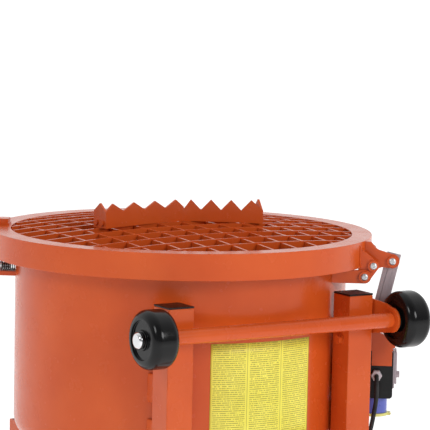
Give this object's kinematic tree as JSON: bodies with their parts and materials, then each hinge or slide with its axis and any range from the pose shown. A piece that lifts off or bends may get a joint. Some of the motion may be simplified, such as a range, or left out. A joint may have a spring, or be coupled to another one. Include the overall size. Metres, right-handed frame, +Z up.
{
  "type": "concrete mixer",
  "caption": "Stationary pan mixer for concrete and mortar: steel pan on a tube frame, rotor with paddles, hinged grille lid with a bag ripper and a safety switch.",
  "frame": {"origin": "on the floor under the pan's vertical axis, the middle of the outline seen from above", "axes": "+Z up; X along the loading axle; -Y the front, where the legs, the small wheels and the label are"},
  "size_m": [0.7107, 0.782, 0.894],
  "materials": {
    "powder_coat": "glossy orange powder coat",
    "grey_plate": "grey-mauve coated plate",
    "bright_steel": "zinc-plated steel",
    "dark_steel": "bare worn steel",
    "black_plastic": "glossy black plastic",
    "matt_black": "matt black plastic",
    "black_rubber": "black rubber",
    "tyre_rubber": "solid rubber tyre",
    "cover_grey": "grey plastic",
    "blue_plastic": "blue plastic",
    "red_plastic": "red plastic",
    "green_plastic": "green plastic",
    "label_film": "printed yellow film",
    "chromed": "chrome plate",
    "motor_grey": "grey enamel",
    "cast_grey": "painted casting"
  },
  "bodies": {
    "frame": {"mixing_pan": "powder_coat", "discharge_chute": "powder_coat", "front_legs": "powder_coat", "leg_caps": "matt_black", "side_frames": "powder_coat", "cross_tubes": "powder_coat", "frame_bolts_and_pins": "bright_steel", "loading_brackets": "powder_coat", "loading_axle": "powder_coat", "wheel_caps": "chromed", "rear_axle": "bright_steel", "push_handle": "powder_coat", "handle_grips": "black_rubber", "gear_case": "cast_grey", "gear_case_cover": "cast_grey", "motor_body": "motor_grey", "motor_stator": "dark_steel", "fan_cover": "motor_grey", "terminal_box": "matt_black", "shaft_bearings": "bright_steel", "pan_hinge_plates": "powder_coat", "switch_bracket": "powder_coat", "safety_switch": "matt_black", "switch_box": "black_plastic", "switch_face": "cover_grey", "supply_inlet": "blue_plastic", "cable_gland": "cover_grey", "supply_cable": "black_rubber", "latch_bracket": "powder_coat", "latch_spring": "bright_steel", "instruction_label": "label_film"},
    "discharge_door": {"discharge_door": "powder_coat"},
    "loading_wheel_left": {"loading_wheel_left": "black_plastic"},
    "loading_wheel_right": {"loading_wheel_right": "black_plastic"},
    "rear_wheel_left": {"rear_tyre_left": "tyre_rubber", "rear_rim_left": "grey_plate"},
    "rear_wheel_right": {"rear_tyre_right": "tyre_rubber", "rear_rim_right": "grey_plate"},
    "rotor": {"output_shaft": "dark_steel", "rotor_hub": "dark_steel", "hub_cap": "bright_steel", "mixing_arms": "dark_steel", "paddles_and_scraper": "dark_steel"},
    "lay_shaft": {"lay_shaft": "dark_steel"},
    "motor_rotor": {"motor_shaft": "dark_steel", "cooling_fan": "matt_black"},
    "lid": {"lid_ring": "powder_coat", "lid_seal": "black_rubber", "lid_grille": "powder_coat", "bag_ripper": "powder_coat", "lid_hinge_plates": "powder_coat", "lid_bolts": "bright_steel", "handle_and_catch": "powder_coat"},
    "interlock_link": {"interlock_link": "grey_plate"},
    "interlock_rocker": {"interlock_rocker": "grey_plate"},
    "start_button": {"start_button": "green_plastic"},
    "stop_button": {"stop_button": "red_plastic"},
    "switch_flap": {"switch_flap": "cover_grey"},
    "inlet_cap": {"inlet_cap": "black_plastic"},
    "latch_bolt": {"latch_bolt": "bright_steel"}
  },
  "joints": [
    {"name": "lid_hinge", "type": "hinge", "parent": "frame", "child": "lid", "pos_m": [0.27163, -0.1902, 0.779], "axis": [0.5736, 0.8192, 0], "range_deg": [0, 100]},
    {"name": "link_pivot", "type": "hinge", "parent": "lid", "child": "interlock_link", "pos_m": [0.26433, -0.28641, 0.804], "axis": [0.5736, 0.8192, 0], "range_deg": [-100, 0]},
    {"name": "rocker_pivot", "type": "hinge", "parent": "frame", "child": "interlock_rocker", "pos_m": [0.20859, -0.24006, 0.67758], "axis": [0.5736, 0.8192, 0], "range_deg": [0, 100]},
    {"name": "rotor_spin", "type": "hinge", "parent": "frame", "child": "rotor", "pos_m": [0, 0, 0.6], "axis": [0, 0, 1], "continuous": true},
    {"name": "lay_shaft_spin", "type": "hinge", "parent": "frame", "child": "lay_shaft", "pos_m": [0.06525, 0, 0.42], "axis": [0, 0, 1], "continuous": true},
    {"name": "motor_spin", "type": "hinge", "parent": "frame", "child": "motor_rotor", "pos_m": [0.06525, -0.06525, 0.3], "axis": [0, 0, 1], "continuous": true},
    {"name": "loading_wheel_left_spin", "type": "hinge", "parent": "frame", "child": "loading_wheel_left", "pos_m": [-0.256, -0.341, 0.708], "axis": [1, 0, 0], "continuous": true},
    {"name": "loading_wheel_right_spin", "type": "hinge", "parent": "frame", "child": "loading_wheel_right", "pos_m": [0.256, -0.341, 0.708], "axis": [1, 0, 0], "continuous": true},
    {"name": "rear_wheel_left_spin", "type": "hinge", "parent": "frame", "child": "rear_wheel_left", "pos_m": [-0.316, 0.241, 0.15], "axis": [1, 0, 0], "continuous": true},
    {"name": "rear_wheel_right_spin", "type": "hinge", "parent": "frame", "child": "rear_wheel_right", "pos_m": [0.316, 0.241, 0.15], "axis": [1, 0, 0], "continuous": true},
    {"name": "discharge_door_hinge", "type": "hinge", "parent": "frame", "child": "discharge_door", "pos_m": [0, 0.216, 0.4505], "axis": [1, 0, 0], "range_deg": [0, 80]},
    {"name": "flap_hinge", "type": "hinge", "parent": "frame", "child": "switch_flap", "pos_m": [0.30101, -0.25624, 0.63425], "axis": [-0.5736, -0.8192, 0], "range_deg": [0, 110]},
    {"name": "inlet_cap_hinge", "type": "hinge", "parent": "frame", "child": "inlet_cap", "pos_m": [0.29473, -0.25032, 0.5201], "axis": [-0.5736, -0.8192, 0], "range_deg": [0, 100]},
    {"name": "start_button_press", "type": "slide", "parent": "frame", "child": "start_button", "axis": [-0.8192, 0.5736, 0], "range_m": [0, 0.003], "stiffness_N_per_m": 600},
    {"name": "stop_button_press", "type": "slide", "parent": "frame", "child": "stop_button", "axis": [-0.8192, 0.5736, 0], "range_m": [0, 0.003], "stiffness_N_per_m": 600},
    {"name": "latch_slide", "type": "slide", "parent": "frame", "child": "latch_bolt", "axis": [-0.8192, 0.5736, 0], "range_m": [0, 0.0075], "deforming": ["latch_spring"]}
  ],
  "couplings": [
    {"joint": "link_pivot", "follows": "lid_hinge", "ratio": -1},
    {"joint": "rocker_pivot", "follows": "lid_hinge", "ratio": 1},
    {"joint": "lay_shaft_spin", "follows": "rotor_spin", "ratio": -4.1176},
    {"joint": "motor_spin", "follows": "rotor_spin", "ratio": 16.955}
  ]
}
